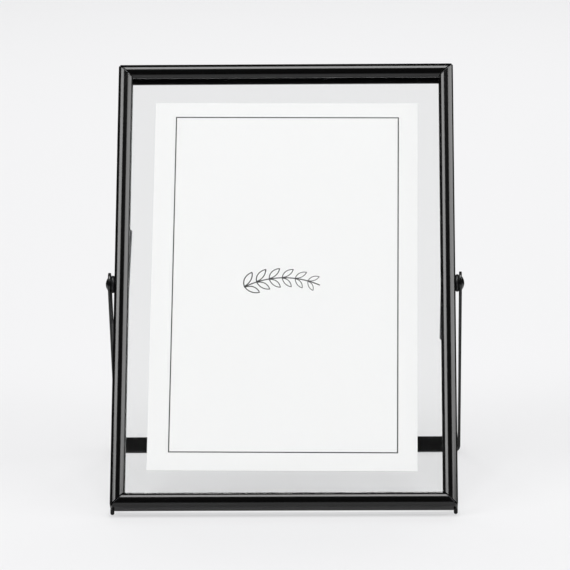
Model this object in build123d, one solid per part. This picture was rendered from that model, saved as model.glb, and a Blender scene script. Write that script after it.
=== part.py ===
from build123d import *
import math
import os

# A floating photo frame: two clear panes in slim hollow rails, which leans on a U-shaped strip.
# Millimetres. The frame is first drawn upright: X to the right, Y to the back, Z up, with the rear
# plane of the rails at Y = 0 and their bottom edge at Z = 0. Then it is leaned back on its stand.

# Frame outline
frame_width = 130.0
frame_height = 183.0
corner_radius = 1.0
mitre_gap = 0.08

# Rail section: a hollow crown on a flat web, an outer wall and, on two rails, a rear lip. The crown is
# one arc whose high line lies a little nearer the outer face, and its two edges are rounded.
rail_width = 5.65
crown_radius = 3.4
crown_apex = 2.72
crown_height = 2.25
shoulder_round = 0.35
edge_round = 0.15
sheet = 0.6
top_lip = 6.7
bottom_lip = 2.6
lip_bend = 0.5

# Panes and card
pane_thickness = 1.8
pane_side_gap = 1.3
pane_top_gap = 2.0
pane_bottom_gap = 0.1
pane_seam = 0.25
pane_play = 0.05
card_width = 101.6
card_height = 152.4
card_thickness = 0.3
card_shift_x = -0.2
card_shift_z = -0.5
card_skew = -0.45

# Corner keys
key_length = 14.0
key_width = 2.8
key_thickness = 0.6
key_tip = 0.5

# Clips behind the panes
clip_length = 46.0
clip_taper = 1.6
clip_reach = -0.1
clip_bevel = 0.5
clip_leg_gap = 0.2
clip_bend = 0.5
collar_wall = 0.7
collar_height = 0.55

# Pivots
pivot_depth = 2.2
shoulder_diameter = 3.6
thread_diameter = 2.9
thread_clearance = 0.05
head_diameter = 5.2
head_height = 0.95
slot_width = 0.8
slot_depth = 0.4
washer_diameter = 6.7
washer_thickness = 1.45
washer_crown = 0.35
running_clearance = 0.04
axial_play = 0.02

# Stand
strip_width = 8.8
strip_thickness = 1.0
strip_edge = 0.2
arm_length = 80.0
bend_radius = 2.5

# Feet and pose
foot_height = 1.0
foot_width = 1.8
foot_depth = 1.8
foot_inset = 0.6
foot_round = 0.4
opening_angle = 60.0

# One overrun for every cut
over = 2.0

# Worked out from the values above
half_width = frame_width / 2
pack_thickness = 2 * pane_thickness + card_thickness
seat_depth = sheet + pack_thickness + pane_play
rail_depth = seat_depth + crown_height
crown_centre = rail_depth - crown_radius
key_depth = seat_depth + sheet
pivot_height = frame_height / 2
arm_inside = half_width + washer_thickness + axial_play
arm_outside = arm_inside + strip_thickness
shoulder_length = washer_thickness + strip_thickness + 2 * axial_play
mitre_inset = mitre_gap / math.sqrt(2)


# The frame leans back until the soles and the crossbar's lower front edge both meet the table. With
# the angle between frame and arms held: across * cos(lean) + along * sin(lean) = strip_edge - foot_height
opening_rad = math.radians(opening_angle)
edge_reach = arm_length - strip_edge
edge_half = strip_width / 2 - strip_edge
across = pivot_height - edge_reach * math.cos(opening_rad) - edge_half * math.sin(opening_rad)
along = pivot_depth - edge_reach * math.sin(opening_rad) + edge_half * math.cos(opening_rad)
lean_rad = math.atan2(along, across) + math.acos((strip_edge - foot_height) / math.hypot(across, along))
swing_rad = opening_rad - lean_rad
pivot_y = pivot_height * math.sin(lean_rad) - pivot_depth * math.cos(lean_rad)
pivot_z = foot_height + pivot_height * math.cos(lean_rad) + pivot_depth * math.sin(lean_rad)
front_y = crown_apex * math.sin(lean_rad) - crown_centre * math.cos(lean_rad) - crown_radius
back_y = (frame_height - lip_bend) * math.sin(lean_rad) + lip_bend - lip_bend * math.cos(lean_rad)
middle_y = (front_y + back_y) / 2

STANDING = (Align.CENTER, Align.CENTER, Align.MIN)
FRAME_POSE = Pos(0, -middle_y, foot_height) * Rot(-math.degrees(lean_rad), 0, 0)
STAND_POSE = Pos(0, pivot_y - middle_y, pivot_z) * Rot(math.degrees(swing_rad), 0, 0)


def rail_section(lip):
    """Closed rail section: x runs from the outer face to the opening, y from the back to the front."""
    heel = lip_bend if lip > 0 else 0
    shoulder_depth = crown_centre + math.sqrt(crown_radius**2 - crown_apex**2)
    edge_depth = crown_centre + math.sqrt(crown_radius**2 - (rail_width - crown_apex)**2)
    outline = [
        Line((0, heel), (0, shoulder_depth)),
        ThreePointArc((0, shoulder_depth), (crown_apex, rail_depth), (rail_width, edge_depth)),
        Line((rail_width, edge_depth), (rail_width, seat_depth)),
        Line((rail_width, seat_depth), (sheet, seat_depth)),
    ]
    if lip > 0:
        outline += [
            Line((sheet, seat_depth), (sheet, sheet)),
            Line((sheet, sheet), (lip, sheet)),
            Line((lip, sheet), (lip, 0)),
            Line((lip, 0), (lip_bend, 0)),
            RadiusArc((lip_bend, 0), (0, lip_bend), lip_bend),
        ]
    else:
        outline += [
            Line((sheet, seat_depth), (sheet, 0)),
            Line((sheet, 0), (0, 0)),
        ]
    section = make_face(outline)
    section = fillet(section.vertices().sort_by_distance((0, shoulder_depth))[0], shoulder_round)
    section = fillet(section.vertices().sort_by_distance((rail_width, edge_depth))[0], edge_round)
    bore_radius = crown_radius - sheet
    bore_half = math.sqrt(bore_radius**2 - (key_depth - crown_centre)**2)
    floor_start = (crown_apex - bore_half, key_depth)
    floor_end = (crown_apex + bore_half, key_depth)
    bore = [
        Line(floor_start, floor_end),
        ThreePointArc(floor_start, (crown_apex, rail_depth - sheet), floor_end),
    ]
    return section - make_face(bore)


def rail(start, inward, along, length, lip=0):
    """One mitred rail from a corner of the frame, cut to the frame's rounded outline."""
    section_plane = Plane(origin=start, x_dir=inward, z_dir=along)
    bar = extrude(section_plane * rail_section(lip), length)
    reach = max(rail_width, lip) + over
    mitre_plane = Plane(origin=start, x_dir=along, z_dir=(0, 1, 0))
    side = 1 if mitre_plane.y_dir.dot(Vector(*inward)) > 0 else -1
    wedge = Polygon(
        (mitre_inset - over, -side * over),
        (length - mitre_inset + over, -side * over),
        (length - mitre_inset - reach, side * reach),
        (mitre_inset + reach, side * reach),
        align=None,
    )
    keep = extrude(mitre_plane * wedge, rail_depth + over, both=True)
    return bar & keep & outline_prism()


def outline_prism():
    """The frame's outline with rounded corners, deeper than the rails."""
    middle = Plane(origin=(0, 0, frame_height / 2), x_dir=(1, 0, 0), z_dir=(0, 1, 0))
    rounded = RectangleRounded(frame_width, frame_height, corner_radius)
    return extrude(middle * rounded, rail_depth + over, both=True)


def thread_hole(sign):
    """A cutter for the screw's thread through the outer wall on one side."""
    centre = Pos(sign * half_width, -pivot_depth, pivot_height)
    return centre * Rot(0, 90, 0) * Cylinder(thread_diameter / 2 + thread_clearance, 2 * over)


def corner_key(sign, top):
    """A flat L that lies on the web inside the crowned fronts of two rails."""
    leg = Pos(key_length / 2, 0) * Rectangle(key_length, key_width)
    leg = chamfer(leg.vertices().group_by(Axis.X)[-1], key_tip)
    foot = Pos(-key_width / 2, -key_width / 2) * Rectangle(key_width, key_width, align=Align.MIN)
    flat = leg + Rot(0, 0, 90) * leg + foot
    solid = extrude(Plane.XZ * flat, key_thickness)
    if top:
        solid = mirror(solid, Plane.XY)
    if sign > 0:
        solid = mirror(solid, Plane.YZ)
    corner_x = sign * (half_width - crown_apex)
    corner_z = frame_height - crown_apex if top else crown_apex
    return Pos(corner_x, -key_depth, corner_z) * solid


def pane(front):
    """One pane with seamed edges; front is the depth of its front face."""
    inset = sheet + pane_side_gap
    low = sheet + pane_bottom_gap
    high = frame_height - sheet - pane_top_gap
    blank = Box(frame_width - 2 * inset, pane_thickness, high - low)
    blank = chamfer(blank.edges(), pane_seam)
    return Pos(0, -front + pane_thickness / 2, (low + high) / 2) * blank


def photo_card():
    """The paper card between the panes, a little askew."""
    blank = Box(card_width, card_thickness, card_height)
    depth = seat_depth - pane_thickness - card_thickness / 2
    place = Pos(card_shift_x, -depth, frame_height / 2 + card_shift_z)
    return place * Rot(0, -card_skew, 0) * blank


def clip():
    """The left clip about the pivot axis: side leg, tapered rear leg and a tapped collar."""
    half = clip_length / 2
    slope = math.tan(math.radians(clip_taper))
    edge = rail_width - half_width + clip_reach
    outer = sheet - half_width
    rear = Polygon(
        (outer, -half),
        (edge - half * slope - clip_bevel, -half),
        (edge - half * slope, -half + clip_bevel),
        (edge + half * slope, half - clip_bevel),
        (edge + half * slope - clip_bevel, half),
        (outer, half),
        align=None,
    )
    rear_leg = extrude(Plane.XZ * rear, sheet)
    leg_depth = seat_depth - clip_leg_gap
    leg_align = (Align.MIN, Align.MAX, Align.CENTER)
    side_leg = Pos(outer, 0, 0) * Box(sheet, leg_depth, clip_length, align=leg_align)
    legs = rear_leg + side_leg
    heel = legs.edges().filter_by(Axis.Z).group_by(Axis.Y)[-1].sort_by(Axis.X)[0]
    legs = fillet(heel, clip_bend)
    on_axis = Pos(outer, -pivot_depth, 0) * Rot(0, 90, 0)
    bore_radius = thread_diameter / 2 + thread_clearance
    collar = on_axis * Cylinder(bore_radius + collar_wall, sheet + collar_height, align=STANDING)
    bore = on_axis * Cylinder(bore_radius, 2 * over)
    return legs + collar - bore


def retainer(sign):
    """Both clips are the same part, turned half round about the frame's normal."""
    turned = clip() if sign < 0 else Rot(0, 180, 0) * clip()
    return Pos(0, 0, pivot_height) * turned


def washer():
    """A crowned friction washer on the pivot axis, from X = 0 outwards."""
    bore = shoulder_diameter / 2 + running_clearance
    rim = washer_diameter / 2 - washer_crown
    profile = make_face([
        Line((bore, 0), (rim, 0)),
        ThreePointArc((rim, 0), (washer_diameter / 2, washer_thickness / 2), (rim, washer_thickness)),
        Line((rim, washer_thickness), (bore, washer_thickness)),
        Line((bore, washer_thickness), (bore, 0)),
    ])
    return Rot(0, 90, 0) * revolve(Plane.XZ * profile, Axis.Z)


def pivot_screw():
    """A shoulder screw on the pivot axis: the shoulder seats on the rail at X = 0."""
    sphere_radius = ((head_diameter / 2)**2 + head_height**2) / (2 * head_height)
    thread_length = 2 * sheet + collar_height
    profile = make_face([
        Line((0, -thread_length), (thread_diameter / 2, -thread_length)),
        Line((thread_diameter / 2, -thread_length), (thread_diameter / 2, 0)),
        Line((thread_diameter / 2, 0), (shoulder_diameter / 2, 0)),
        Line((shoulder_diameter / 2, 0), (shoulder_diameter / 2, shoulder_length)),
        Line((shoulder_diameter / 2, shoulder_length), (head_diameter / 2, shoulder_length)),
        RadiusArc((head_diameter / 2, shoulder_length), (0, shoulder_length + head_height), -sphere_radius),
        Line((0, shoulder_length + head_height), (0, -thread_length)),
    ])
    screw = revolve(Plane.XZ * profile, Axis.Z)
    slot_floor = shoulder_length + head_height - slot_depth
    slot = Pos(0, 0, slot_floor) * Box(head_diameter + over, slot_width, over, align=STANDING)
    return Rot(0, 90, 0) * (screw - slot)


def on_side(shape, sign):
    """Places a pivot piece that points to +X on one side of the frame."""
    turned = shape if sign > 0 else Rot(0, 180, 0) * shape
    return Pos(sign * half_width, -pivot_depth, pivot_height) * turned


def stand():
    """The U strip about the pivot axis, with its arms down."""
    outer_radius = bend_radius + strip_thickness
    blank_height = arm_length + strip_width
    blank_span = 2 * arm_outside + over
    outer_blank = Rectangle(2 * arm_outside, blank_height, align=(Align.CENTER, Align.MIN))
    outer_blank = fillet(outer_blank.vertices().group_by(Axis.Y)[0], outer_radius)
    inner_blank = Rectangle(2 * arm_inside, blank_height, align=(Align.CENTER, Align.MIN))
    inner_blank = fillet(inner_blank.vertices().group_by(Axis.Y)[0], bend_radius)
    bend = Pos(0, -arm_length) * outer_blank - Pos(0, strip_thickness - arm_length) * inner_blank
    strip = extrude(Plane.XZ * bend, strip_width / 2, both=True)
    round_ends = Rot(0, 90, 0) * Cylinder(strip_width / 2, blank_span)
    arms = Box(blank_span, strip_width, blank_height, align=(Align.CENTER, Align.CENTER, Align.MAX))
    strip = strip & (round_ends + arms)
    cross_seams = strip.edges().filter_by(Axis.Y)
    end_seams = strip.edges().filter_by(lambda edge: edge.length < 2 * strip_thickness)
    strip = fillet(strip.edges() - cross_seams - end_seams, strip_edge)
    hole = Rot(0, 90, 0) * Cylinder(shoulder_diameter / 2 + running_clearance, blank_span)
    return strip - hole


def foot(sign):
    """A small wedge under the bottom rail's rear edge, with a level sole, in the leaned pose."""
    rear = (-foot_inset * math.cos(lean_rad), foot_height + foot_inset * math.sin(lean_rad))
    front_depth = foot_inset + foot_depth
    front = (-front_depth * math.cos(lean_rad), foot_height + front_depth * math.sin(lean_rad))
    side = Polygon(rear, front, (front[0], 0), (rear[0], 0), align=None)
    centre = sign * (half_width - corner_radius / 2 - foot_width / 2)
    wedge = extrude(Plane.YZ * side, foot_width / 2, both=True)
    wedge = fillet(wedge.edges().filter_by(Axis.Z), foot_round)
    return Pos(centre, -middle_y, 0) * wedge


def build():
    """Every piece in its own named node, in the pose of the photograph."""
    low_left = (-half_width, 0, 0)
    low_right = (half_width, 0, 0)
    high_left = (-half_width, 0, frame_height)
    high_right = (half_width, 0, frame_height)
    upright = {
        "rail_bottom": rail(low_left, (0, 0, 1), (1, 0, 0), frame_width, bottom_lip),
        "rail_right": rail(low_right, (-1, 0, 0), (0, 0, 1), frame_height) - thread_hole(1),
        "rail_top": rail(high_right, (0, 0, -1), (-1, 0, 0), frame_width, top_lip),
        "rail_left": rail(high_left, (1, 0, 0), (0, 0, -1), frame_height) - thread_hole(-1),
        "glass_front": pane(seat_depth),
        "glass_back": pane(seat_depth - pane_thickness - card_thickness),
        "photo_card": photo_card(),
    }
    for side_name, sign in (("left", -1), ("right", 1)):
        upright["corner_key_top_" + side_name] = corner_key(sign, True)
        upright["corner_key_bottom_" + side_name] = corner_key(sign, False)
        upright["retainer_" + side_name] = retainer(sign)
        upright["friction_washer_" + side_name] = on_side(washer(), sign)
        upright["pivot_screw_" + side_name] = on_side(pivot_screw(), sign)
    nodes = {name: FRAME_POSE * shape for name, shape in upright.items()}
    nodes["stand"] = STAND_POSE * stand()
    nodes["foot_left"] = foot(-1)
    nodes["foot_right"] = foot(1)
    return nodes


os.makedirs("parts", exist_ok=True)
for node_name, node_shape in build().items():
    export_step(node_shape, "parts/" + node_name + ".step")
print("lean and swing, degrees:", round(math.degrees(lean_rad), 3), round(math.degrees(swing_rad), 3))
print("pivot, row frame:", round(pivot_y - middle_y, 3), round(pivot_z, 3))
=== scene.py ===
"""The leaning photo frame dressed for its picture: enamelled rails, glass, card, stand, floor and light."""

import math

import bmesh
import bpy
import numpy as np
from mathutils import Matrix, Vector
from mathutils.geometry import tessellate_polygon


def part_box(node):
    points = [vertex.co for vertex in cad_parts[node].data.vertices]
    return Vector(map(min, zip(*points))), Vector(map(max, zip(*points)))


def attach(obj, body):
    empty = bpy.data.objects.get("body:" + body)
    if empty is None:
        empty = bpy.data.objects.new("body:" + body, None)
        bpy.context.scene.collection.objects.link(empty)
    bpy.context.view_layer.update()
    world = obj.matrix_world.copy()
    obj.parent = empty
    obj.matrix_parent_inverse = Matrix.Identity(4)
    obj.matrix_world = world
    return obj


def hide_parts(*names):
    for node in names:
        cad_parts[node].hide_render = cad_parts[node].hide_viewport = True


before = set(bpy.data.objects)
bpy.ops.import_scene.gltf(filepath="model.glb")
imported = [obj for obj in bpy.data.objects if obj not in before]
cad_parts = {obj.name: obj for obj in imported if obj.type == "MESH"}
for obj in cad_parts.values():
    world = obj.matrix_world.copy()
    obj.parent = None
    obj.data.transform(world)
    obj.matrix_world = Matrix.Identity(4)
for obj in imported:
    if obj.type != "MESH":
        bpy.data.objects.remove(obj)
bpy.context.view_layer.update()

# Millimetres, as in the source of the part. Points become metres when a mesh is made.
MM = 0.001

frame_width = 130.0
frame_height = 183.0
# The corners are drawn a little tighter than they are cut, because the open joint softens them.
corner_radius = 0.7
# The 0.08 mm joint is drawn as a groove one pixel across, so that its dark line shows.
mitre_groove = 0.4
mitre_round = 0.1

rail_width = 5.65
crown_radius = 3.4
crown_apex = 2.72
crown_height = 2.25
shoulder_round = 0.35
edge_round = 0.15
sheet = 0.6
top_lip = 6.7
bottom_lip = 2.6
lip_bend = 0.5
# A lip follows the mitre only to this far inside its rail's inner face, so it ends square below the rail.
lip_setback = 0.6

pane_thickness = 1.8
card_width = 101.6
card_height = 152.4
card_thickness = 0.3
card_shift_x = -0.2
card_shift_z = -0.5
card_skew = -0.45
card_relief = 0.03
pane_play = 0.05

pivot_depth = 2.2
shoulder_diameter = 3.6
thread_diameter = 2.9
head_diameter = 5.2
head_height = 0.95
slot_width = 0.8
slot_depth = 0.4
washer_diameter = 6.7
washer_thickness = 1.45
washer_crown = 0.35
running_clearance = 0.04
axial_play = 0.02
collar_height = 0.55

strip_width = 8.8
strip_thickness = 1.0
strip_edge = 0.2
arm_length = 80.0
bend_radius = 2.5
# The flat face round each hole is one polygon that reaches this far along the arm.
hole_face = 6.0

foot_height = 1.0
# The feet show flush with the rails' outer faces and a little smaller than the blocks they are cut from.
foot_width = 1.5
foot_depth = 1.6
foot_inset = 0.5
foot_round = 0.7
foot_flush = 0.05

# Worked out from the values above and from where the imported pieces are.
half_width = frame_width / 2
seat_depth = sheet + 2 * pane_thickness + card_thickness + pane_play
crown_centre = seat_depth + crown_height - crown_radius
key_depth = seat_depth + sheet
mitre_inset = mitre_groove / math.sqrt(2)
shoulder_length = washer_thickness + strip_thickness + 2 * axial_play
arm_outside = half_width + washer_thickness + axial_play + strip_thickness

pivot_low, pivot_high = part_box("friction_washer_left")
pivot_y = (pivot_low.y + pivot_high.y) / 2 / MM
pivot_z = (pivot_low.z + pivot_high.z) / 2 / MM
lean = math.atan2(pivot_depth, frame_height / 2) + math.acos(
    (pivot_z - foot_height) / math.hypot(frame_height / 2, pivot_depth)
)
middle_y = frame_height / 2 * math.sin(lean) - pivot_depth * math.cos(lean) - pivot_y
edge_reach = arm_length - strip_edge
edge_half = strip_width / 2 - strip_edge
swing = math.atan2(edge_half, edge_reach) + math.acos(
    (pivot_z - strip_edge) / math.hypot(edge_reach, edge_half)
)


# Places


def leaned(points):
    """Points of the upright frame (x right, y back, z up), leaned back about its lower rear edge."""
    x, y, z = np.moveaxis(np.asarray(points, float), -1, 0)
    back = y * math.cos(lean) + z * math.sin(lean) - middle_y
    up = z * math.cos(lean) - y * math.sin(lean) + foot_height
    return np.stack([x, back, up], axis=-1)


def swung(points):
    """Points about the pivot axis with the arms straight down, turned back to where the arms stand."""
    x, y, z = np.moveaxis(np.asarray(points, float), -1, 0)
    back = y * math.cos(swing) - z * math.sin(swing) + pivot_y
    up = y * math.sin(swing) + z * math.cos(swing) + pivot_z
    return np.stack([x, back, up], axis=-1)


def on_pivot(points, sign):
    """Points with z out along the pivot axis, put on one side of the upright frame and leaned."""
    x, y, z = np.moveaxis(np.asarray(points, float), -1, 0)
    out = sign * (half_width + z)
    return leaned(np.stack([out, y - pivot_depth, x + frame_height / 2], axis=-1))


# Surfaces


def grid_faces(rows, columns, wrap=True):
    """The quads of a grid of points stored row by row; wrap joins the last column to the first."""
    across = np.arange(columns if wrap else columns - 1)
    after = (across + 1) % columns
    down = np.arange(rows - 1)[:, None] * columns
    below = down + columns
    quads = np.stack([down + across, down + after, below + after, below + across], axis=-1)
    return quads.reshape(-1, 4).tolist()


def filled(loops, numbers):
    """Triangles that fill the first flat loop and leave the others open; numbers are its point numbers."""
    flat = [[Vector((a, b, 0)) for a, b in loop] for loop in loops]
    return [[numbers[i] for i in triangle] for triangle in tessellate_polygon(flat)]


def piece(name, points, faces, body, node, slot, material, crease=32):
    """A closed piece: doubles merged, faces outward, smooth up to the crease angle, wide faces flat."""
    mesh = bpy.data.meshes.new(name)
    mesh.from_pydata((points * MM).tolist(), [], faces)
    work = bmesh.new()
    work.from_mesh(mesh)
    bmesh.ops.remove_doubles(work, verts=work.verts, dist=0.002 * MM)
    bmesh.ops.recalc_face_normals(work, faces=work.faces)
    work.to_mesh(mesh)
    work.free()
    mesh.shade_smooth()
    mesh.set_sharp_from_angle(angle=math.radians(crease))
    mesh.materials.append(material)
    made = bpy.data.objects.new(name, mesh)
    bpy.context.scene.collection.objects.link(made)
    even = made.modifiers.new("even_shading", "WEIGHTED_NORMAL")
    even.keep_sharp = True
    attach(made, body)
    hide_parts(node)
    return made


def outward(loop):
    """Unit normals of a closed flat loop, half way between those of the two edges at each point."""
    ahead = np.roll(loop, -1, axis=0) - loop
    ahead /= np.linalg.norm(ahead, axis=1, keepdims=True)
    both = ahead + np.roll(ahead, 1, axis=0)
    normal = np.stack([-both[:, 1], both[:, 0]], axis=1)
    return normal / np.linalg.norm(normal, axis=1, keepdims=True)


def rail_outline(lip):
    """Closed section: x in from the outer face, y forward from the back. The crown is an arc; at each end
    a smaller one rolls it over into the flat side; it touches both where centres and point are in line."""
    aside = crown_apex - shoulder_round
    outer_y = crown_centre + math.sqrt((crown_radius - shoulder_round)**2 - aside**2)
    edge_x = rail_width - edge_round
    edge_y = crown_centre + math.sqrt((crown_radius - edge_round)**2 - (edge_x - crown_apex)**2)
    first = math.atan2(outer_y - crown_centre, shoulder_round - crown_apex)
    last = math.atan2(edge_y - crown_centre, edge_x - crown_apex)
    arcs = []
    for x, y, radius, start, end, count in (
        (shoulder_round, outer_y, shoulder_round, math.pi, first, 9),
        (crown_apex, crown_centre, crown_radius, first, last, 37),
        (edge_x, edge_y, edge_round, last, 0, 9),
    ):
        turn = np.linspace(start, end, count)[:-1]
        arcs.append(np.stack([x + radius * np.cos(turn), y + radius * np.sin(turn)], axis=1))
    front = np.concatenate(arcs + [[(rail_width, edge_y)]])
    if lip == 0:
        rest = np.array([(rail_width, seat_depth), (sheet, seat_depth), (sheet, 0), (0, 0)])
        return np.concatenate([front, rest])
    rest = np.array([(rail_width, seat_depth), (sheet, seat_depth), (sheet, sheet), (lip, sheet), (lip, 0)])
    bend = np.linspace(0, math.pi / 2, 7)
    heel = np.stack([lip_bend * (1 - np.sin(bend)), lip_bend * (1 - np.cos(bend))], axis=1)
    return np.concatenate([front, rest, heel])


def rail_bore():
    """The hollow of the crown: the same arc one sheet further in, on a flat floor."""
    radius = crown_radius - sheet
    floor = math.asin((key_depth - crown_centre) / radius)
    turn = np.linspace(math.pi - floor, floor, 25)
    return np.stack([crown_apex + radius * np.cos(turn), crown_centre + radius * np.sin(turn)], axis=1)


def rail(lip, length, start, inward, along):
    """A mitred rail: the section is carried along, and each point ends where its distance in from the outer
    face meets the 45 degree cut. At the cut the edge rolls over by mitre_round, and the outer wall follows
    the corner's arc: x = r (1 - sin t) at r (1 - cos t) along the rail. The lip's end is square."""
    outline = rail_outline(lip)
    normal = outward(outline)
    roll = np.radians([90.0, 60.0, 30.0, 0.0])
    sweep = np.radians(np.linspace(45, 90, 7))
    more = len(sweep) - 1
    inset = np.concatenate([mitre_round * (1 - np.cos(roll)), np.zeros(more)])
    ahead = np.concatenate([mitre_round * (1 - np.sin(roll)), np.full(more, mitre_round)])
    turn = np.concatenate([np.full(len(roll), sweep[0]), sweep[1:]])
    shrunk = outline[None] - inset[:, None, None] * normal[None]
    least = corner_radius * (1 - np.sin(turn))[:, None]
    tip = corner_radius * (1 - math.sin(sweep[0]))
    x = np.maximum(shrunk[..., 0], least)
    arc = corner_radius * (1 - np.cos(turn))[:, None]
    cut = np.clip(shrunk[..., 0], tip, rail_width - lip_setback) - tip + arc
    reach = cut + mitre_inset + ahead[:, None]
    x = np.concatenate([x, x[::-1]])
    y = np.concatenate([shrunk[..., 1], shrunk[::-1, :, 1]])
    z = np.concatenate([reach, length - reach[::-1]])
    bore = rail_bore()
    bore_x = np.tile(bore[:, 0], (2, 1))
    bore_y = np.tile(bore[:, 1], (2, 1))
    bore_z = np.stack([bore[:, 0] + mitre_inset, length - bore[:, 0] - mitre_inset])
    rows, columns = x.shape
    faces = grid_faces(rows, columns)
    first_bore = rows * columns
    faces += [[number + first_bore for number in quad] for quad in grid_faces(2, len(bore))]
    for row, bore_row in ((0, 0), (rows - 1, 1)):
        ring = list(range(row * columns, (row + 1) * columns))
        hole = [first_bore + bore_row * len(bore) + k for k in range(len(bore))]
        faces += filled([np.stack([x[row], y[row]], axis=1), bore], ring + hole)
    across = np.concatenate([x.ravel(), bore_x.ravel()])[:, None] * np.array(inward, float)
    forward = np.concatenate([y.ravel(), bore_y.ravel()])[:, None] * np.array((0.0, -1.0, 0.0))
    onward = np.concatenate([z.ravel(), bore_z.ravel()])[:, None] * np.array(along, float)
    return leaned(np.array(start, float) + across + forward + onward), faces


def stand_strip():
    """A flat strip with round ends and two holes, drawn as s along and v across, then folded into a U:
    straight arms, quarter turns of bend_radius inside, and a straight crossbar. Its edges are rolled."""
    outer = bend_radius + strip_thickness
    arm = arm_length - outer
    quarter = math.pi / 2 * outer
    bar = 2 * (arm_outside - outer)
    whole = 2 * (arm + quarter) + bar
    half = strip_width / 2
    bend = np.linspace(0, quarter, 13)
    far_bend = whole - arm - quarter + bend
    stops = np.concatenate([[0, hole_face], arm + bend, far_bend, [whole - hole_face, whole]])
    ends = np.linspace(-math.pi / 2, math.pi / 2, 33)[1:-1]
    count = len(stops)
    roll = np.radians(np.linspace(90, 0, 5))
    inset = np.concatenate([strip_edge * (1 - np.cos(roll)), strip_edge * (1 - np.cos(roll[::-1]))])
    rise = strip_edge * (1 - np.sin(roll))
    deep = np.concatenate([rise, strip_thickness - rise[::-1]])
    radius = (half - inset)[:, None]
    there, back = (np.tile(run, (len(inset), 1)) for run in (stops, stops[::-1]))
    s = [there, whole + radius * np.cos(ends), back, -radius * np.cos(ends)]
    v = [radius * np.ones(count), -radius * np.sin(ends), -radius * np.ones(count), radius * np.sin(ends)]
    s = np.concatenate(s, axis=1)
    v = np.concatenate(v, axis=1)
    t = np.tile(deep[:, None], (1, s.shape[1]))
    rows, columns = s.shape
    faces = grid_faces(rows, columns)
    spin = np.linspace(0, 2 * math.pi, 41)[:-1]
    hole_radius = shoulder_diameter / 2 + running_clearance
    points = [np.stack([s.ravel(), v.ravel(), t.ravel()], axis=1)]
    holes = []
    taken = rows * columns
    for middle in (0.0, whole):
        ring = np.stack([middle + hole_radius * np.cos(spin), hole_radius * np.sin(spin)], axis=1)
        for depth in (0.0, strip_thickness):
            points.append(np.column_stack([ring, np.full(len(ring), depth)]))
        faces += [[number + taken for number in quad] for quad in grid_faces(2, len(ring))]
        holes.append((ring, taken))
        taken += 2 * len(ring)
    left = list(range(count))
    right = list(range(2 * count + len(ends) - 1, count + len(ends) - 1, -1))
    left_end = list(range(2 * count + len(ends), columns))
    right_end = list(range(count, count + len(ends)))
    for row, level in ((0, 0), (rows - 1, 1)):
        base = row * columns
        quads = [(left[k], left[k + 1], right[k + 1], right[k]) for k in range(1, count - 2)]
        faces += [[base + k for k in quad] for quad in quads]
        for loop, (ring, first) in (
            ([right[1], right[0]] + left_end + [left[0], left[1]], holes[0]),
            ([left[-2], left[-1]] + right_end + [right[-1], right[-2]], holes[1]),
        ):
            edge = np.stack([s[row][loop], v[row][loop]], axis=1)
            numbers = [base + k for k in loop] + [first + level * len(ring) + k for k in range(len(ring))]
            faces += filled([edge, ring], numbers)
    s, v, t = np.concatenate(points).T
    mirrored = s > whole / 2
    run = np.where(mirrored, whole - s, s)
    turned = np.clip((run - arm) / outer, 0, math.pi / 2)
    level = np.clip(run - arm - quarter, 0, None)
    x = outer - arm_outside - (outer - t) * np.cos(turned) + level
    z = -np.minimum(run, arm) - (outer - t) * np.sin(turned)
    return swung(np.stack([np.where(mirrored, -x, x), v, z], axis=1)), faces


def washer(sign):
    """A ring whose rim bulges as a circle's arc: the profile turned about the pivot axis."""
    bore = shoulder_diameter / 2 + running_clearance
    rim = washer_diameter / 2 - washer_crown
    half = washer_thickness / 2
    bulge = (half**2 + washer_crown**2) / (2 * washer_crown)
    reach = math.asin(half / bulge)
    swell = np.linspace(-reach, reach, 13)
    radius = np.concatenate([[bore], rim + washer_crown - bulge * (1 - np.cos(swell)), [bore]])
    height = np.concatenate([[0], half + bulge * np.sin(swell), [washer_thickness]])
    steps = 64
    spin = np.linspace(0, 2 * math.pi, steps + 1)[:-1, None]
    x = radius * np.cos(spin)
    y = radius * np.sin(spin)
    z = np.tile(height, (steps, 1))
    points = np.stack([x.ravel(), y.ravel(), z.ravel()], axis=1)
    rows = grid_faces(steps + 1, len(radius))
    return on_pivot(points, sign), (np.array(rows) % (steps * len(radius))).tolist()


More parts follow.
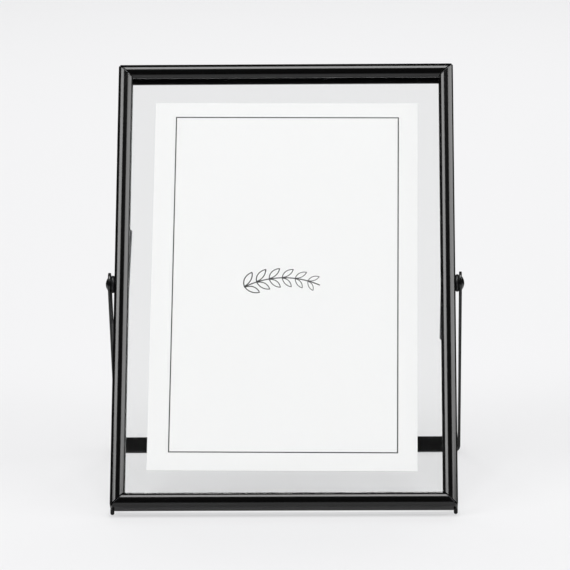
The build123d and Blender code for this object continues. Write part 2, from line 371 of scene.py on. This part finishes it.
def pivot_screw(sign, turn):
    """A dome head, part of a sphere, crossed by a slot, on a shoulder and a thread. The head is a stack of
    chords; in the slot the height is the lower of dome and slot floor."""
    edge = head_diameter / 2
    sphere = (edge**2 + head_height**2) / (2 * head_height)
    side = -edge * np.cos(np.linspace(0, math.acos(slot_width / 2 / edge), 11))
    rows = np.concatenate([side, [-slot_width / 2, slot_width / 2], -side[::-1]])
    in_slot = np.zeros(len(rows), bool)
    in_slot[len(side):len(side) + 2] = True
    reach = np.sqrt(np.clip(edge**2 - rows**2, 0, None))[:, None]
    columns = 31
    a = reach * np.sin(np.linspace(-math.pi / 2, math.pi / 2, columns))
    b = np.tile(rows[:, None], (1, columns))
    dome = np.sqrt(sphere**2 - a**2 - b**2) - sphere + head_height
    dome = np.clip(dome, 0, None)
    height = np.where(in_slot[:, None], np.minimum(dome, head_height - slot_depth), dome)
    faces = grid_faces(len(rows), columns, wrap=False)
    starts = [k * columns for k in range(len(rows))]
    rim = [k + columns - 1 for k in starts] + starts[::-1]
    top = np.stack([a.ravel(), b.ravel(), height.ravel()], axis=1)
    around = top[rim]
    rings = []
    length = sheet + sheet + collar_height
    for radius, level in (
        (shoulder_diameter / 2, 0),
        (shoulder_diameter / 2, -shoulder_length),
        (thread_diameter / 2, -shoulder_length),
        (thread_diameter / 2, -shoulder_length - length),
        (0, -shoulder_length - length),
    ):
        rings.append(np.column_stack([around[:, :2] * (radius / edge), np.full(len(rim), level)]))
    below = grid_faces(len(rings) + 1, len(rim))
    numbers = rim + list(range(len(top), len(top) + len(rings) * len(rim)))
    faces += [[numbers[k] for k in quad] for quad in below]
    points = np.concatenate([top] + rings)
    points[:, 2] += shoulder_length
    c, s = math.cos(turn), math.sin(turn)
    points[:, :2] = points[:, :2] @ np.array([[c, s], [-s, c]])
    return on_pivot(points, sign), faces


def round_foot(sign):
    """A block under the rail with four round corners and a rolled edge round its sole: x and depth are the
    loop's, the walls stand upright, and the top follows the rail's underside and the corner's arc, which
    rises by r - sqrt(r^2 - d^2) at a distance d past where it starts."""
    # The small turn keeps the points off the axes, where the sign of a cosine or sine would be 0.
    spin = np.linspace(0, 2 * math.pi, 49)[:-1] + 0.01
    roll = np.radians(np.linspace(0, 90, 7))
    inset = np.concatenate([[0], foot_round * (1 - np.cos(roll))])[:, None]
    shrunk = foot_round - inset
    x = (foot_width / 2 - foot_round) * np.sign(np.cos(spin)) + shrunk * np.cos(spin)
    y = (foot_depth / 2 - foot_round) * np.sign(np.sin(spin)) + shrunk * np.sin(spin)
    x += sign * (half_width - foot_flush - foot_width / 2)
    past = np.clip(sign * x - half_width + corner_radius, 0, corner_radius)
    rise = corner_radius - np.sqrt(corner_radius**2 - past**2)
    depth = foot_inset + foot_depth / 2 - y
    y = -depth * math.cos(lean) - middle_y
    under = foot_height + depth * math.sin(lean) + rise * math.cos(lean)
    sole = np.concatenate([[0], foot_round * (1 - np.sin(roll))])[:, None]
    z = np.where(np.arange(len(inset))[:, None] == 0, under, sole + 0 * under)
    rows, columns = x.shape
    faces = grid_faces(rows, columns)
    faces += [list(range(columns)), list(range((rows - 1) * columns, rows * columns))]
    return np.stack([x.ravel(), y.ravel(), z.ravel()], axis=1), faces


def cut_card():
    """A flat sheet turned by its skew between the panes; each face lies card_relief clear of its pane."""
    half = np.array([card_width / 2, card_thickness / 2 - card_relief, card_height / 2])
    corners = half * np.array([(x, y, z) for x in (-1, 1) for y in (-1, 1) for z in (-1, 1)])
    skew = np.array(Matrix.Rotation(math.radians(-card_skew), 3, "Y"))
    depth = seat_depth - pane_thickness - card_thickness / 2
    centre = (card_shift_x, -depth, frame_height / 2 + card_shift_z)
    faces = [(0, 1, 3, 2), (4, 6, 7, 5), (0, 4, 5, 1), (2, 3, 7, 6), (0, 2, 6, 4), (1, 5, 7, 3)]
    return leaned(corners @ skew.T + centre), faces


# Finishes


def linear(code):
    """An sRGB hex colour as the linear colour that shaders use."""
    value = np.array([int(code[k:k + 2], 16) for k in (0, 2, 4)]) / 255
    value = np.where(value <= 0.04045, value / 12.92, ((value + 0.055) / 1.055) ** 2.4)
    return (*value.tolist(), 1.0)


def finish(name):
    """An empty material and its node tree."""
    material = bpy.data.materials.new(name)
    material.use_nodes = True
    material.node_tree.nodes.clear()
    return material, material.node_tree


def add(tree, kind, inputs=None, **settings):
    """Adds a node with its settings. An input is a value, or an output of another node to link."""
    node = tree.nodes.new(kind)
    for key, value in settings.items():
        setattr(node, key, value)
    for key, value in (inputs or {}).items():
        if isinstance(value, bpy.types.NodeSocket):
            tree.links.new(value, node.inputs[key])
        else:
            node.inputs[key].default_value = value
    return node


def calc(tree, operation, *values):
    """One step of arithmetic on numbers or outputs."""
    return add(tree, "ShaderNodeMath", dict(enumerate(values)), operation=operation).outputs["Value"]


def ranged(tree, value, low, high, first, last):
    """Goes evenly from first to last while the given value goes from low to high."""
    inputs = {"Value": value, "From Min": low, "From Max": high, "To Min": first, "To Max": last}
    return add(tree, "ShaderNodeMapRange", inputs).outputs["Result"]


def noise(tree, place, size, detail):
    """Cloudy values from 0 to 1, about size millimetres from crest to crest."""
    inputs = {"Vector": place, "Scale": 1 / (size * MM), "Detail": detail}
    return add(tree, "ShaderNodeTexNoise", inputs).outputs["Fac"]


def bumped(tree, height, strength, depth):
    """Normals of the surface raised by height, where 1 stands for depth millimetres."""
    inputs = {"Height": height, "Strength": strength, "Distance": depth * MM}
    return add(tree, "ShaderNodeBump", inputs).outputs["Normal"]


def blended(tree, share, first, last):
    """The first colour at share 0 and the last at share 1; inputs 6 and 7 are the node's two colours."""
    inputs = {"Factor": share, 6: linear(first), 7: linear(last)}
    return add(tree, "ShaderNodeMix", inputs, data_type="RGBA").outputs[2]


def either(tree, share, first, last):
    """The first shader at share 0 and the last at share 1."""
    return add(tree, "ShaderNodeMixShader", {0: share, 1: first, 2: last}).outputs["Shader"]


def surfaced(tree, inputs):
    """Ends the tree in a Principled shader with these inputs."""
    shader = add(tree, "ShaderNodeBsdfPrincipled", inputs)
    add(tree, "ShaderNodeOutputMaterial", {"Surface": shader.outputs["BSDF"]})


def enamel(name, colour, rough, spread, peel):
    """Black enamel on steel, sprayed and baked: deep and glossy, with the faint ripple of orange peel."""
    material, tree = finish(name)
    place = add(tree, "ShaderNodeTexCoord").outputs["Object"]
    # Orange peel is about 1.5 mm from crest to crest; the film's gloss drifts over about 20 mm.
    ripple = noise(tree, place, 1.5, 1.0)
    drift = noise(tree, place, 20, 3.0)
    inputs = {
        "Base Color": linear(colour),
        "Roughness": ranged(tree, drift, 0.3, 0.7, rough - spread, rough + spread),
        "IOR": 1.5,
        "Normal": bumped(tree, ripple, 1.0, peel),
    }
    surfaced(tree, inputs)
    return material


def float_glass():
    """Clear float glass: a clean mirror at the surface, and faint green along the pane. Lamps and the
    light that the card throws back pass straight through it."""
    material, tree = finish("float_glass")
    # At this IOR, below that of real glass, the paper shows as bright through the panes as it should.
    inputs = {"Base Color": linear("ffffff"), "Roughness": 0.0, "IOR": 1.4, "Transmission Weight": 1.0}
    shader = add(tree, "ShaderNodeBsdfPrincipled", inputs).outputs["BSDF"]
    clear = add(tree, "ShaderNodeBsdfTransparent", {"Color": linear("fbfbfb")}).outputs["BSDF"]
    path = add(tree, "ShaderNodeLightPath").outputs
    lit = either(tree, path["Is Shadow Ray"], shader, clear)
    both = either(tree, path["Is Diffuse Ray"], lit, clear)
    # Iron in the glass takes some red out of light that runs along the pane, so its edges look green.
    tint = add(tree, "ShaderNodeVolumeAbsorption", {"Color": linear("c4e6d4"), "Density": 5.0})
    add(tree, "ShaderNodeOutputMaterial", {"Surface": both, "Volume": tint.outputs["Volume"]})
    return material


def coated_card():
    """Smooth white card, offset printed: a thin ruled border and a small line sprig in soft black."""
    material, tree = finish("coated_card")
    place = add(tree, "ShaderNodeTexCoord").outputs["Object"]
    # On the card x runs to the right, y back from its front face and z up, all in millimetres.
    pose = Matrix.Rotation(-lean, 3, "X") @ Matrix.Rotation(math.radians(-card_skew), 3, "Y")
    depth = seat_depth - pane_thickness
    centre = leaned((card_shift_x, -depth, frame_height / 2 + card_shift_z)) * MM
    inputs = {
        "Vector": place,
        "Location": centre.tolist(),
        "Rotation": pose.to_euler("XYZ"),
        "Scale": (MM, MM, MM),
    }
    on_card = add(tree, "ShaderNodeMapping", inputs, vector_type="TEXTURE").outputs["Vector"]
    split = add(tree, "ShaderNodeSeparateXYZ", {"Vector": on_card})
    x, y, z = (split.outputs[axis] for axis in "XYZ")

    def step(operation, *values):
        return calc(tree, operation, *values)

    ruled_line, leaf_line, blur = 0.4, 0.32, 0.05

    def ink(distance, width):
        """1 on a line of that width where distance is 0, with an edge as soft as the press leaves it."""
        return ranged(tree, step("ABSOLUTE", distance), width / 2, width / 2 + blur, 1.0, 0.0)

    # The border's middle is off the card's by as much as the card was trimmed.
    border_width, border_height, border_x, border_z = 86.0, 138.8, 0.33, 0.63
    side = step("SUBTRACT", step("ABSOLUTE", step("SUBTRACT", x, border_x)), border_width / 2)
    end = step("SUBTRACT", step("ABSOLUTE", step("SUBTRACT", z, border_z)), border_height / 2)
    border = ink(step("MAXIMUM", side, end), ruled_line)

    # The sprig's stem is an arc about a point below; s runs along it from its left end and b away from it.
    stem_radius, stem_length, stem_left, stem_middle = 32.0, 30.0, 16.0, -29.5
    low = step("SUBTRACT", z, stem_middle)
    angle = step("ARCTAN2", x, low)
    s = step("ADD", step("MULTIPLY", angle, stem_radius), stem_left)
    reach = step("SQRT", step("ADD", step("MULTIPLY", x, x), step("MULTIPLY", low, low)))
    b = step("SUBTRACT", reach, stem_radius)
    started = step("GREATER_THAN", s, 0.0)
    within = step("MULTIPLY", started, step("LESS_THAN", s, stem_length))
    stem = step("MULTIPLY", ink(b, ruled_line), within)
    # A pair of leaves stands at every pitch; the first is first_size times as large as drawn, and each of
    # the next is smaller by shrink. A leaf is where two circles overlap, and its outline is the line where
    # the farther one's edge lies.
    pitch, first_size, shrink, leaf_turn = 5.0, 1.15, 0.07, math.radians(42)
    number = step("FLOOR", step("DIVIDE", s, pitch))
    size = step("SUBTRACT", first_size, step("MULTIPLY", number, shrink))
    across = step("DIVIDE", step("SUBTRACT", s, step("MULTIPLY", number, pitch)), size)
    away = step("DIVIDE", step("ABSOLUTE", b), size)
    c, n = math.cos(leaf_turn), math.sin(leaf_turn)
    leaf_half, leaf_belly, leaf_middle = 2.7, 1.0, 3.0
    circle = (leaf_half**2 + leaf_belly**2) / 2 / leaf_belly
    u = step("ADD", step("MULTIPLY", across, c), step("MULTIPLY", away, n))
    u = step("SUBTRACT", u, leaf_middle)
    w = step("SUBTRACT", step("MULTIPLY", away, c), step("MULTIPLY", across, n))
    farther = step("ADD", step("ABSOLUTE", w), circle - leaf_belly)
    length = step("SQRT", step("ADD", step("MULTIPLY", u, u), step("MULTIPLY", farther, farther)))
    pairs = step("MULTIPLY", started, step("LESS_THAN", number, stem_length / pitch))
    leaves = step("MULTIPLY", ink(step("SUBTRACT", length, circle), leaf_line), pairs)

    front = step("LESS_THAN", y, card_thickness / 2)
    printed = step("MULTIPLY", front, step("MAXIMUM", border, step("MAXIMUM", stem, leaves)))
    # The coating is even; paper fibre below shows only as a ripple 0.4 mm wide, drawn faint.
    fibre = noise(tree, place, 0.4, 2.0)
    inputs = {
        "Base Color": blended(tree, printed, "f7f7f7", "1c1b1b"),
        "Roughness": 0.55,
        "IOR": 1.45,
        "Normal": bumped(tree, fibre, 0.3, 0.004),
    }
    surfaced(tree, inputs)
    return material


def rolled_steel(name, colour, rough):
    """Rolled steel strip, bare or zinc plated: dull grey, with fine rolling lines along the strip."""
    material, tree = finish(name)
    place = add(tree, "ShaderNodeTexCoord").outputs["Object"]
    # Rolling lines are about 0.1 mm apart and run up the frame, 50 times as long as they are wide.
    inputs = {"Vector": place, "Rotation": (lean, 0, 0), "Scale": (1, 1, 0.02)}
    along = add(tree, "ShaderNodeMapping", inputs).outputs["Vector"]
    lines = noise(tree, along, 0.1, 2.0)
    inputs = {
        "Base Color": linear(colour),
        "Metallic": 1.0,
        "Roughness": ranged(tree, lines, 0.0, 1.0, rough - 0.08, rough + 0.08),
        "Normal": bumped(tree, lines, 0.4, 0.003),
    }
    surfaced(tree, inputs)
    return material


def moulded(name, colour, rough, grain, depth):
    """Moulded black nylon or rubber: matt, with the fine grain of the mould."""
    material, tree = finish(name)
    place = add(tree, "ShaderNodeTexCoord").outputs["Object"]
    inputs = {
        "Base Color": linear(colour),
        "Roughness": rough,
        "IOR": 1.5,
        "Normal": bumped(tree, noise(tree, place, grain, 3.0), 0.5, depth),
    }
    surfaced(tree, inputs)
    return material


def seen_straight(tree, path):
    """1 on rays that the camera sends straight or through the glass, before any mirror bounce."""
    rays = calc(tree, "MAXIMUM", path["Is Camera Ray"], path["Is Transmission Ray"])
    return calc(tree, "MULTIPLY", rays, calc(tree, "LESS_THAN", path["Glossy Depth"], 0.5))


def paper_sheet():
    """Matt white paper under the frame. Of what the camera sees of it, straight or through the glass, a bit
    over half is an even pale tone, as where studio light evens it out, and the rest is its real shade.
    The gloss mirrors it as it is lit near the frame. Further back, its colour in the gloss is painted dark,
    a painted shade that stands for the dim room."""
    even_share = 0.565
    # Metres behind the frame's middle, where the painted shade in the gloss starts and where it is full.
    painted_shade_start, painted_shade_end = 0.12, 0.24
    material, tree = finish("paper_sheet")
    path = add(tree, "ShaderNodeLightPath").outputs
    straight = seen_straight(tree, path)
    place = add(tree, "ShaderNodeTexCoord").outputs["Object"]
    behind = add(tree, "ShaderNodeSeparateXYZ", {"Vector": place}).outputs["Y"]
    far = ranged(tree, behind, painted_shade_start, painted_shade_end, 0.0, 1.0)
    mirrored = calc(tree, "LESS_THAN", straight, path["Is Glossy Ray"])
    # Painted shade: to the gloss only, the paper's colour goes from d9d9da to 202020 further back, standing
    # for the dim room.
    colour = blended(tree, calc(tree, "MULTIPLY", far, mirrored), "d9d9da", "202020")
    matt = add(tree, "ShaderNodeBsdfDiffuse", {"Color": colour, "Roughness": 0.0}).outputs["BSDF"]
    even = add(tree, "ShaderNodeEmission", {"Color": linear("fcfcfd"), "Strength": 1.0})
    both = either(tree, calc(tree, "MULTIPLY", straight, even_share), matt, even.outputs["Emission"])
    add(tree, "ShaderNodeOutputMaterial", {"Surface": both})
    # The even tone is only looked at: it isn't sampled as a lamp, so it lights nothing behind the glass.
    material.cycles.emission_sampling = "NONE"
    return material


rail_enamel = enamel("rail_enamel", "060606", 0.16, 0.02, 0.0015)
stand_enamel = enamel("stand_enamel", "0e0e0e", 0.22, 0.03, 0.0015)
screw_enamel = enamel("screw_enamel", "0e0e0e", 0.2, 0.03, 0.001)
nylon = moulded("black_nylon", "1e1e1f", 0.36, 0.12, 0.002)
rubber = moulded("black_rubber", "141414", 0.75, 0.15, 0.01)
clip_steel = rolled_steel("spring_steel", "707072", 0.38)
key_steel = rolled_steel("zinc_plate", "b4b6ba", 0.4)
glass = float_glass()
card = coated_card()

# Pieces

for name, lip, length, start, inward, along in (
    ("bottom", bottom_lip, frame_width, (-half_width, 0, 0), (0, 0, 1), (1, 0, 0)),
    ("right", 0, frame_height, (half_width, 0, 0), (-1, 0, 0), (0, 0, 1)),
    ("top", top_lip, frame_width, (half_width, 0, frame_height), (0, 0, -1), (-1, 0, 0)),
    ("left", 0, frame_height, (-half_width, 0, frame_height), (1, 0, 0), (0, 0, -1)),
):
    points, faces = rail(lip, length, start, inward, along)
    piece("enamelled_rail_" + name, points, faces, "frame", "rail_" + name, "rails_black", rail_enamel)

points, faces = stand_strip()
piece("folded_stand", points, faces, "stand", "stand", "stand_black", stand_enamel)

# The screws' slots stopped at different angles, given in radians.
for side, sign, turn in (("left", -1, 0.35), ("right", 1, -0.6)):
    for name, node, slot, made, material, crease in (
        ("crowned_washer_", "friction_washer_", "washers_black", washer(sign), nylon, 32),
        ("dome_screw_", "pivot_screw_", "screws_black", pivot_screw(sign, turn), screw_enamel, 40),
        ("round_foot_", "foot_", "feet_black", round_foot(sign), rubber, 50),
    ):
        piece(name + side, *made, "frame", node + side, slot, material, crease)

points, faces = cut_card()
piece("printed_card", points, faces, "frame", "photo_card", "card_white", card)

for node, material in (
    ("glass_front", glass),
    ("glass_back", glass),
    ("retainer_left", clip_steel),
    ("retainer_right", clip_steel),
    ("corner_key_top_left", key_steel),
    ("corner_key_top_right", key_steel),
    ("corner_key_bottom_left", key_steel),
    ("corner_key_bottom_right", key_steel),
):
    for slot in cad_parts[node].material_slots:
        slot.material = material

# Floor: one flat sheet, 6 m square.
span = 3000.0
floor_points = np.array([(-span, -span, 0), (span, -span, 0), (span, span, 0), (-span, span, 0)])
floor_mesh = bpy.data.meshes.new("sheet")
floor_mesh.from_pydata((floor_points * MM).tolist(), [], [[0, 1, 2, 3]])
floor_mesh.materials.append(paper_sheet())
floor = bpy.data.objects.new("sheet", floor_mesh)
bpy.context.scene.collection.objects.link(floor)


# The lamps face a point half way up the leaning frame.
aim = Vector((0.0, 0.0, 75.0))


def softbox(name, first, last, width, brightness):
    """A flat lamp between two end points, turned to face the aim; brightness 1 is a white wall."""
    first, last = Vector(first), Vector(last)
    along = (last - first).normalized()
    outward = (first + last) / 2 - aim
    outward = (outward - outward.dot(along) * along).normalized()
    lamp = bpy.data.lights.new(name, "AREA")
    lamp.shape = "RECTANGLE"
    lamp.size = (last - first).length * MM
    lamp.size_y = width * MM
    lamp.energy = brightness * math.pi * lamp.size * lamp.size_y
    made = bpy.data.objects.new(name, lamp)
    made.matrix_world = Matrix((along, outward.cross(along), outward)).transposed().to_4x4()
    made.location = (first + last) / 2 * MM
    bpy.context.scene.collection.objects.link(made)
    return made


# The bands on the rails are mirror images of these boxes, so their ends are set from the bands' edges.
softbox("left_box", (-760.0, -770.0, 1460.0), (-1380.0, -110.0, 1065.0), 480.0, 7.0)
softbox("right_box", (800.0, -780.0, 1480.0), (1560.0, 230.0, 830.0), 480.0, 5.4)
softbox("top_box", (0.0, -330.0, 1200.0), (0.0, 240.0, 1200.0), 400.0, 7.5)
# Two low fill lamps in front even out the card, which the high boxes light more at its top, and one lamp
# over the paper behind the frame evens that out. The gloss doesn't mirror these three.
for name, first, last, width, brightness in (
    ("left_fill", (-200.0, -590.0, 105.0), (-420.0, -440.0, 105.0), 170.0, 4.5),
    ("right_fill", (200.0, -590.0, 105.0), (420.0, -440.0, 105.0), 170.0, 4.5),
    ("paper_box", (-600.0, 1100.0, 900.0), (600.0, 1100.0, 900.0), 500.0, 5.2),
):
    softbox(name, first, last, width, brightness).visible_glossy = False

# The room is nearly dark in what the gloss mirrors, and pale where the camera looks past the floor.
world = bpy.data.worlds.new("studio")
world.use_nodes = True
tree = world.node_tree
tree.nodes.clear()
dim = add(tree, "ShaderNodeBackground", {"Color": linear("ffffff"), "Strength": 0.03})
pale = add(tree, "ShaderNodeBackground", {"Color": linear("f0f0f2"), "Strength": 1.0})
path = add(tree, "ShaderNodeLightPath").outputs
seen = seen_straight(tree, path)
room = either(tree, seen, dim.outputs["Background"], pale.outputs["Background"])
add(tree, "ShaderNodeOutputWorld", {"Surface": room})
world.cycles.sampling_method = "NONE"
bpy.context.scene.world = world
bpy.context.scene.view_settings.view_transform = "Standard"

# Camera, fitted to the photograph: distance and target in millimetres, angles in degrees.
distance, elevation, azimuth, camera_roll = 1674.5, 13.991, 1.231, -0.54
target = Vector((0.1, 50.0 - middle_y, 75.67))
pixels_long, pixels_wide = 4395.5, 570.0
e, a, r = (math.radians(value) for value in (elevation, azimuth, camera_roll))
backward = Vector((math.sin(a) * math.cos(e), -math.cos(a) * math.cos(e), math.sin(e)))
level = (-backward).cross(Vector((0, 0, 1))).normalized()
upright = level.cross(-backward)
across = math.cos(r) * level + math.sin(r) * upright
upward = math.cos(r) * upright - math.sin(r) * level
view = Matrix((across, upward, backward)).transposed().to_4x4()
view.translation = (target + distance * backward) * MM
lens = bpy.data.cameras.new("camera")
lens.sensor_fit = "HORIZONTAL"
lens.lens = lens.sensor_width * pixels_long / pixels_wide
lens.clip_start = 0.1
lens.clip_end = 20.0
camera = bpy.data.objects.new("camera", lens)
camera.matrix_world = view
bpy.context.scene.collection.objects.link(camera)
bpy.context.scene.camera = camera
